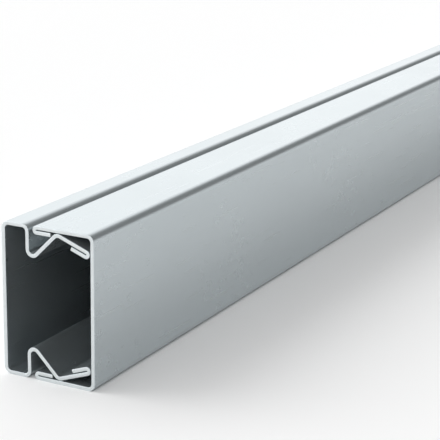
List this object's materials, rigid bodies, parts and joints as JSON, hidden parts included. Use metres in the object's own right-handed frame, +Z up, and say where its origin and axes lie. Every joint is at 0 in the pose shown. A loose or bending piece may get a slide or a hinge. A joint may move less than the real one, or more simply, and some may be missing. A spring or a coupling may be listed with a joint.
{
  "type": "cable trunking",
  "caption": "Steel trunking length: a channel with sprung legs and folded edges, and a front cover that clips over them to close a cable way along a wall.",
  "frame": {"origin": "middle of the underside, half way along the trunking and half way between the wall face and the cover", "axes": "+X along the trunking, +Y out of the back face towards the wall, +Z up the cover's height"},
  "size_m": [2, 0.04, 0.06],
  "materials": {
    "galvanised_base": "satin galvanised sheet",
    "galvanised_cover": "satin galvanised sheet"
  },
  "bodies": {
    "channel": {"base_channel": "galvanised_base"},
    "cover": {"clip_cover": "galvanised_cover"}
  },
  "joints": [
    {"name": "cover_slide", "type": "slide", "parent": "channel", "child": "cover", "axis": [1, 0, 0], "range_m": [-2, 2]}
  ]
}
